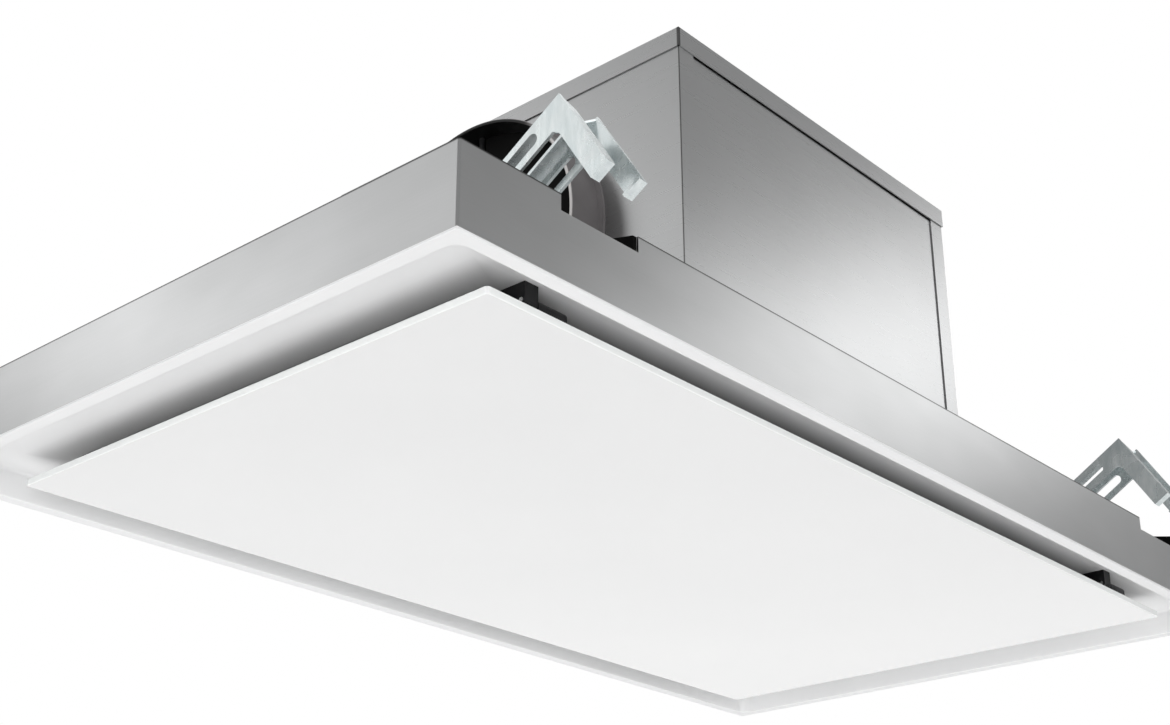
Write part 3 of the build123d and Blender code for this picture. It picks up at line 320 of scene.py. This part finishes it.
# Painted highlight: pale along the near part of the collar's mouth.
mouth_highlight = both(
    tree,
    near_plane(tree, "X", mouth_x, mouth_width),
    near_plane(tree, "Y", mouth_highlight_y, mouth_highlight_fade),
)
skin = mixed(tree, mouth_highlight, mixed(tree, outside, black, outside_sheen), mouth_highlight_grey)
paint(tree, shader, skin, spread(tree, cloud, 0.3, 0.42))
relief(tree, shader, spark, 0.00002, 0.25)
dress(moulded, "outlet_collar")

flap_plastic, tree, shader = finish("black_flap_plastic", rough=0.6)
shader.inputs["Specular IOR Level"].default_value = 0.05
cloud = grain(tree, 22.0, detail=3.0)
black = shades(tree, cloud, (0.3, (0.002, 0.002, 0.002)), (0.7, (0.003, 0.003, 0.003)))
paint(tree, shader, black, spread(tree, cloud, 0.55, 0.68))
relief(tree, shader, grain(tree, 1200.0, detail=1.0), 0.00004, 0.35)
dress(flap_plastic, "flap_near", "flap_far")

oxide, tree, shader = finish("black_oxide_pin", rough=0.4, metal=0.6)
cloud = grain(tree, 300.0, detail=2.0)
black = shades(tree, cloud, (0.3, (0.012, 0.012, 0.013)), (0.7, (0.03, 0.03, 0.032)))
paint(tree, shader, black, spread(tree, cloud, 0.32, 0.46))
dress(oxide, "flap_pin")

# ---------------------------------------------------------------- swing-out ceiling clamps
# Pressed zinc-plated steel, 2 mm thick: an L-shaped arm with a slotted leg and a
# pierced arm, on a bolt and lock nut between two ears of its foot. Passivation
# leaves the plate cool and faintly green, and handling leaves it cloudy.
corners = ("near_left", "near_right", "far_right", "far_left")
plated, tree, shader = finish("zinc_plated_pressing", rough=0.28, metal=0.8)
cloud = grain(tree, 55.0, detail=4.0, warp=0.6)
rub = grain(tree, 260.0, (1, 1, 0.2), detail=3.0)
cool = shades(
    tree, cloud,
    (0.3, (0.64, 0.70, 0.71)), (0.55, (0.74, 0.79, 0.79)), (0.75, (0.84, 0.87, 0.87)),
)
worn = shades(tree, rub, (0.35, (0.52, 0.58, 0.59)), (0.7, (0.84, 0.87, 0.87)))
paint(tree, shader, mixed(tree, 0.35, cool, worn), spread(tree, cloud, 0.2, 0.32))
relief(tree, shader, rub, 0.00003, 0.3)
dress(plated, *[f"clamp_arm_{corner}" for corner in corners])

plated_feet, tree, shader = finish("zinc_plated_feet", rough=0.34, metal=0.9)
cloud = grain(tree, 40.0, detail=4.0, warp=0.4)
cool = shades(tree, cloud, (0.3, (0.50, 0.53, 0.55)), (0.7, (0.62, 0.65, 0.67)))
paint(tree, shader, cool, spread(tree, cloud, 0.28, 0.42))
relief(tree, shader, grain(tree, 300.0, detail=2.0), 0.00003, 0.3)
dress(plated_feet, "clamp_bases")

# ---------------------------------------------------------------- bolts, nuts, studs and pins
# Cold-headed and turned steel in bright zinc plate. The shaft's two bearings are
# as bright, so they share the finish.
fastener, tree, shader = finish("bright_zinc_fastener", rough=0.24, metal=1.0)
cloud = grain(tree, 180.0, detail=3.0)
bright = shades(tree, cloud, (0.3, (0.62, 0.63, 0.64)), (0.7, (0.78, 0.78, 0.77)))
paint(tree, shader, bright, spread(tree, cloud, 0.18, 0.34))
relief(tree, shader, cloud, 0.00003, 0.3)
dress(fastener, "guide_studs", "catch_studs", "hinge_pins", "shaft_bearings",
      *[f"clamp_bolt_{corner}" for corner in corners],
      *[f"clamp_nut_{corner}" for corner in corners])

# ---------------------------------------------------------------- M4 sheet screws
# Pan heads with a cross recess, cold-headed and zinc plated: four hold the lid on
# its two far faces and four hold each clamp foot down to the deck.
screw_r, screw_rise = 0.0034, 0.0018
dome_drop, dome_power = 0.42, 2.6
cross_half, cross_reach, cross_depth, cross_taper = 0.00045, 0.0019, 0.0009, 0.35
head_rings, head_steps = 14, 64


def settle(name, bm, made):
    """Turn a finished bmesh into an object of that name, in one finish."""
    mesh = bpy.data.meshes.new(name)
    bm.to_mesh(mesh)
    bm.free()
    mesh.materials.append(made)
    piece = bpy.data.objects.new(name, mesh)
    scene.collection.objects.link(piece)
    return piece


def head_height(x, y, r):
    """The dome's height over the sheet, less the recess where the cross runs."""
    dome = screw_rise * (1 - dome_drop * (r / screw_r) ** dome_power)
    in_cross = min(abs(x), abs(y)) < cross_half and r < cross_reach
    return dome - (cross_depth * (1 - cross_taper * r / cross_reach) if in_cross else 0)


def pan_head(name, at, out):
    """One pan head, standing on a point with its axis along out."""
    bm = bmesh.new()
    rows = []
    for ring in range(1, head_rings + 1):
        r = screw_r * ring / head_rings
        row = []
        for step in range(head_steps):
            turn = 2 * math.pi * step / head_steps
            x, y = r * math.cos(turn), r * math.sin(turn)
            row.append(bm.verts.new((x, y, head_height(x, y, r))))
        rows.append(row)
    middle = bm.verts.new((0, 0, screw_rise - cross_depth))
    foot = [bm.verts.new((vert.co.x, vert.co.y, 0)) for vert in rows[-1]]
    for step in range(head_steps):
        after = (step + 1) % head_steps
        bm.faces.new((middle, rows[0][step], rows[0][after]))
        for inner, outer in zip(rows, rows[1:] + [foot]):
            bm.faces.new((inner[step], outer[step], outer[after], inner[after]))
    bm.faces.new(list(reversed(foot)))
    head = settle(name, bm, fastener)
    head.location = at
    head.rotation_euler = Vector(out).to_track_quat("Z", "Y").to_euler()
    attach(head, "casing")
    return head


lid_low, lid_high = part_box("box_lid")
lid_mid_z = (lid_low[2] + lid_high[2]) / 2
lid_third_x, lid_third_y = 0.338 / 3, 0.340 / 3
foot_x, foot_y, foot_top = 0.3375, 0.161663, 0.0482
foot_screw_dx, foot_screw_dy = 0.020, 0.017
heads = []
for side in (-1, 1):
    spot = (side * lid_third_x, lid_high[1], lid_mid_z)
    heads.append(pan_head(f"lid_screw_far_{side + 2}", spot, (0, 1, 0)))
    spot = (lid_high[0], side * lid_third_y, lid_mid_z)
    heads.append(pan_head(f"lid_screw_end_{side + 2}", spot, (1, 0, 0)))
for across in (-1, 1):
    for along in (-1, 1):
        for dx in (-foot_screw_dx, foot_screw_dx):
            for dy in (-foot_screw_dy, foot_screw_dy):
                spot = (along * foot_x + dx, across * foot_y + dy, foot_top)
                heads.append(pan_head(f"foot_screw_{len(heads)}", spot, (0, 0, 1)))
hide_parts("casing_screws")

# ---------------------------------------------------------------- clamp guides
# Black moulded trays under the four notches, which guide the clamp arms over the
# wall and stop its edge cutting the ceiling board.
tray_plastic, tree, shader = finish("black_guide_plastic", rough=0.7)
shader.inputs["Specular IOR Level"].default_value = 0.04
cloud = grain(tree, 60.0, detail=3.0)
black = shades(tree, cloud, (0.3, (0.003, 0.003, 0.003)), (0.7, (0.005, 0.005, 0.005)))
paint(tree, shader, black, spread(tree, cloud, 0.7, 0.85))
relief(tree, shader, grain(tree, 1400.0, detail=1.0), 0.00005, 0.4)
dress(tray_plastic, "clamp_guides")

# ---------------------------------------------------------------- panel hinges and catches
# Glass-filled black nylon: a block on the hood and a knuckle on the panel for
# each hinge, two sprung sockets for the catch studs, the latches of the filters
# and the gland for the mains cable.
nylon, tree, shader = finish("black_nylon", rough=0.42)
shader.inputs["Specular IOR Level"].default_value = 0.25
cloud = grain(tree, 120.0, detail=3.0)
black = shades(tree, cloud, (0.3, (0.004, 0.004, 0.005)), (0.7, (0.008, 0.008, 0.009)))
paint(tree, shader, black, spread(tree, cloud, 0.38, 0.52))
relief(tree, shader, grain(tree, 1800.0, (1, 1, 0.4), detail=1.0), 0.00004, 0.4)
dress(nylon, "hinge_blocks", "hinge_arms", "catch_sockets", "cable_gland",
      "filter_latch_left", "filter_latch_middle", "filter_latch_right")

# ---------------------------------------------------------------- panel carrier and rails
# Aluminium, mill finish, with drawing lines along the length: a shallow pressed
# tray behind the glass, two extruded rails that hold the filters, the filters'
# frames and the bars of the lights.
mill, tree, shader = finish("mill_aluminium", rough=0.32, metal=1.0)
drawn = grain(tree, 90.0, (0.1, 5.0, 5.0), detail=3.0)
cloud = grain(tree, 16.0, detail=3.0)
tone = shades(tree, drawn, (0.3, (0.60, 0.61, 0.62)), (0.7, (0.72, 0.725, 0.73)))
cloudy = shades(tree, cloud, (0.3, (0.58, 0.585, 0.59)), (0.7, (0.74, 0.745, 0.75)))
paint(tree, shader, mixed(tree, 0.3, tone, cloudy), spread(tree, cloud, 0.27, 0.4))
relief(tree, shader, drawn, 0.00003, 0.3)
dress(mill, "panel_carrier", "filter_rails", "light_bars",
      "filter_rim_left", "filter_rim_middle", "filter_rim_right")

# ---------------------------------------------------------------- grease filter mesh
# Layers of expanded aluminium foil held in each filter's frame. The lowest layer
# is made here strand by strand, over the layers behind it, painted dark as their shade.
layers, tree, shader = finish("stacked_mesh_layers", rough=0.5, metal=0.8)
weave = grain(tree, 700.0, detail=2.0)
# Painted shade: the layers behind the strands are dark.
dark = shades(tree, weave, (0.35, (0.05, 0.05, 0.052)), (0.7, (0.34, 0.345, 0.35)))
paint(tree, shader, dark, spread(tree, weave, 0.35, 0.6))
relief(tree, shader, weave, 0.0006, 0.8)
dress(layers, "filter_mesh_left", "filter_mesh_middle", "filter_mesh_right")

strand, tree, shader = finish("expanded_aluminium", rough=0.36, metal=1.0)
cloud = grain(tree, 90.0, detail=3.0)
bright = shades(tree, cloud, (0.3, (0.56, 0.565, 0.57)), (0.7, (0.72, 0.725, 0.73)))
paint(tree, shader, bright, spread(tree, cloud, 0.28, 0.44))
relief(tree, shader, cloud, 0.00003, 0.3)

cell_x, cell_y = 0.0106, 0.0053
strand_width, strand_drop = 0.0009, 0.0005
for place_name in ("left", "middle", "right"):
    low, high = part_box(f"filter_mesh_{place_name}")
    count_x = int((high[0] - low[0]) / cell_x)
    count_y = int((high[1] - low[1]) / cell_y)
    start_x = (low[0] + high[0] - count_x * cell_x) / 2
    start_y = (low[1] + high[1] - count_y * cell_y) / 2
    strand_z = low[2] - strand_drop
    bm = bmesh.new()
    corner_at = {}
    for i in range(2 * count_x - 1):
        for j in range(2 * count_y - 1):
            if (i + j) % 2:
                continue
            diamond = []
            for di, dj in ((0, 1), (1, 0), (2, 1), (1, 2)):
                key = (i + di, j + dj)
                if key not in corner_at:
                    x, y = start_x + key[0] * cell_x / 2, start_y + key[1] * cell_y / 2
                    corner_at[key] = bm.verts.new((x, y, strand_z))
                diamond.append(corner_at[key])
            bm.faces.new(diamond)
    strands = settle(f"filter_strands_{place_name}", bm, strand)
    wires = strands.modifiers.new("strands", "WIREFRAME")
    wires.thickness = strand_width
    wires.use_even_offset = False
    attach(strands, "casing")

# ---------------------------------------------------------------- lights
# Opal polycarbonate lenses along the light bars on the two long sides, extruded
# with fine flutes along their length.
opal, tree, shader = finish("opal_lens", rough=0.35)
shader.inputs["Subsurface Weight"].default_value = 0.3
shader.inputs["Subsurface Radius"].default_value = (0.004, 0.004, 0.004)
cloud = grain(tree, 40.0, detail=2.0)
milky = shades(tree, cloud, (0.3, (0.86, 0.86, 0.83)), (0.7, (0.90, 0.90, 0.87)))
paint(tree, shader, milky, spread(tree, cloud, 0.3, 0.42))
relief(tree, shader, grain(tree, 500.0, (0.05, 1, 1), detail=1.0), 0.00005, 0.3)
dress(opal, "light_lenses")

# ---------------------------------------------------------------- impeller, shaft and motor
# A galvanised wheel of 36 blades through a pressed disc, on a ground shaft, and
# a die-cast motor body held by a spider.
wheel, tree, shader = finish("galvanised_wheel", rough=0.4, metal=0.9)
cloud = grain(tree, 70.0, detail=4.0)
zinc = shades(tree, cloud, (0.3, (0.44, 0.45, 0.46)), (0.7, (0.58, 0.59, 0.60)))
paint(tree, shader, zinc, spread(tree, cloud, 0.34, 0.48))
relief(tree, shader, cloud, 0.00005, 0.2)
dress(wheel, "impeller", "impeller_blades", "impeller_rings")

ground, tree, shader = finish("ground_shaft_steel", rough=0.18, metal=1.0)
marks = grain(tree, 400.0, (1, 6, 1), detail=2.0)
bright = shades(tree, marks, (0.3, (0.60, 0.60, 0.61)), (0.7, (0.72, 0.72, 0.72)))
paint(tree, shader, bright, spread(tree, marks, 0.14, 0.26))
relief(tree, shader, marks, 0.00002, 0.2)
dress(ground, "motor_shaft")

casting, tree, shader = finish("die_cast_aluminium", rough=0.5, metal=0.9)
skin = grain(tree, 240.0, detail=3.0)
cast_grey = shades(tree, skin, (0.3, (0.44, 0.445, 0.45)), (0.7, (0.56, 0.565, 0.57)))
paint(tree, shader, cast_grey, spread(tree, skin, 0.44, 0.6))
relief(tree, shader, skin, 0.0001, 0.3)
dress(casting, "motor")

# ---------------------------------------------------------------- electronics box
# A grey moulded tray and its cover on the deck, held with four pan-head screws,
# with the control board in it.
grey_case, tree, shader = finish("grey_case_plastic", rough=0.5)
cloud = grain(tree, 25.0, detail=3.0)
grey = shades(tree, cloud, (0.3, (0.17, 0.175, 0.18)), (0.7, (0.21, 0.215, 0.22)))
paint(tree, shader, grey, spread(tree, cloud, 0.42, 0.58))
relief(tree, shader, grain(tree, 1300.0, detail=1.0), 0.00005, 0.4)
dress(grey_case, "electronics_tray", "electronics_cover")

screw_inset = 0.007
cover_low, cover_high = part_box("electronics_cover")
cover_xs = (cover_low[0] + screw_inset, cover_high[0] - screw_inset)
cover_ys = (cover_low[1] + screw_inset, cover_high[1] - screw_inset)
for number, (x, y) in enumerate([(x, y) for x in cover_xs for y in cover_ys]):
    pan_head(f"cover_screw_{number}", (x, y, cover_high[2]), (0, 0, 1))

board, tree, shader = finish("green_board", rough=0.35, coat=0.4, coat_rough=0.2)
tracks = grain(tree, 330.0, (1, 0.15, 1), detail=1.0)
green = shades(tree, tracks, (0.4, (0.018, 0.10, 0.04)), (0.6, (0.035, 0.17, 0.07)))
paint(tree, shader, green, spread(tree, tracks, 0.28, 0.42))
relief(tree, shader, tracks, 0.00004, 0.3)
dress(board, "circuit_board")

# ---------------------------------------------------------------- camera
# The photograph was taken from below the near left corner, with the lens raised,
# so the picture keeps a small vertical shift.
cam_data = bpy.data.cameras.new("camera")
cam = bpy.data.objects.new("camera", cam_data)
scene.collection.objects.link(cam)
cam.location = (-0.9736, -0.7888, -0.4122)
cam.rotation_euler = tuple(math.radians(angle) for angle in (112.627, -0.315, -47.602))
cam_data.lens = 54.82
cam_data.sensor_width = 36
cam_data.shift_x = 0.0333
cam_data.shift_y = 0.05
cam_data.clip_end = 60
scene.camera = cam

# ---------------------------------------------------------------- floor
# A plain pale studio floor, 2.3 m below the ceiling the hood is made for. It is
# whitest far off, where it runs into the white background.
floor_drop, floor_half = 2.3, 50
glow_under, glow_far = 0.36, 0.72
glow_from, glow_to = 3.0, 9.0
pale, tree, shader = finish("pale_floor", rough=0.8)
shader.inputs["Emission Color"].default_value = (1, 1, 1, 1)
fine = grain(tree, 6.0, detail=2.0)
chalky = shades(tree, fine, (0.3, (0.84, 0.84, 0.84)), (0.7, (0.86, 0.86, 0.86)))
tree.links.new(chalky, shader.inputs["Base Color"])
rays = tree.nodes.new("ShaderNodeLightPath")
seen = either(
    tree,
    rays.outputs["Is Camera Ray"],
    rays.outputs["Is Glossy Ray"],
    rays.outputs["Is Transmission Ray"],
)
from_hood = distance(tree, (0, 0, 0), (1, 1, 0))
glow = both(tree, spread(tree, from_hood, glow_under, glow_far, glow_from, glow_to), seen)
tree.links.new(glow, shader.inputs["Emission Strength"])
bm = bmesh.new()
bmesh.ops.create_grid(bm, x_segments=4, y_segments=4, size=floor_half)
floor = settle("floor", bm, pale)
floor.location = (0, 0, -floor_drop)

# ---------------------------------------------------------------- studio light
# A room that is pale low down and darker above, with soft boxes from below, from
# overhead, from behind the camera and past both sides. The camera sees it white,
# and metal sees only a part of that white, so that its gradients stay.
pale_low, dim_high = 0.85, 0.32
low_height, high_height = 0.08, 0.24
metal_share = 0.15
world = bpy.data.worlds.new("studio")
scene.world = world
world.use_nodes = True
tree = world.node_tree
room = tree.nodes["Background"]
room.inputs["Color"].default_value = (1, 1, 1, 1)
white_back = tree.nodes.new("ShaderNodeBackground")
white_back.inputs["Color"].default_value = (1, 1, 1, 1)
white_back.inputs["Strength"].default_value = 1.0
towards = tree.nodes.new("ShaderNodeTexCoord")
height = tree.nodes.new("ShaderNodeSeparateXYZ")
tree.links.new(towards.outputs["Generated"], height.inputs["Vector"])
strength = spread(tree, height.outputs["Z"], pale_low, dim_high, low_height, high_height)
tree.links.new(strength, room.inputs["Strength"])
rays = tree.nodes.new("ShaderNodeLightPath")
white_share = either(
    tree,
    rays.outputs["Is Camera Ray"],
    spread(tree, rays.outputs["Is Glossy Ray"], 0.0, metal_share, 0.0, 1.0),
    rays.outputs["Is Transmission Ray"],
)
blend = tree.nodes.new("ShaderNodeMixShader")
tree.links.new(white_share, blend.inputs["Fac"])
tree.links.new(room.outputs["Background"], blend.inputs[1])
tree.links.new(white_back.outputs["Background"], blend.inputs[2])
tree.links.new(blend.outputs["Shader"], tree.nodes["World Output"].inputs["Surface"])


def soft_box(name, at, towards, size, watts):
    """A rectangular soft light that points at a spot on the hood."""
    data = bpy.data.lights.new(name, "AREA")
    data.shape = "RECTANGLE"
    data.size, data.size_y = size
    data.energy = watts
    lamp = bpy.data.objects.new(name, data)
    lamp.location = at
    lamp.rotation_euler = (Vector(towards) - Vector(at)).to_track_quat("-Z", "Y").to_euler()
    scene.collection.objects.link(lamp)
    return lamp


soft_box("from_below", (-0.1, 0.45, -1.9), (0, 0, 0), (2.4, 2.4), 17.0)
soft_box("overhead", (0.0, 0.0, 4.2), (0, 0, 0), (6.0, 6.0), 125.0)
# This one stays out of reflections: seen from behind, the steel would glare with it.
camera_side = soft_box("camera_side", (-2.9, -2.9, -0.9), (-0.3, -0.2, 0), (1.8, 1.8), 88.0)
camera_side.visible_glossy = False
soft_box("duct_side_broad", (-3.3, 3.3, 2.3), (-0.4, 0.0, 0.1), (2.4, 1.9), 12.0)
soft_box("duct_side_narrow", (-2.87, 3.82, 2.11), (-0.44, 0.0, 0.03), (0.6, 0.8), 2.6)
soft_box("hinge_side", (4.68, -3.04, 2.54), (0.0, -0.2, 0.1), (1.55, 0.9), 11.5)

scene.view_settings.view_transform = "Standard"
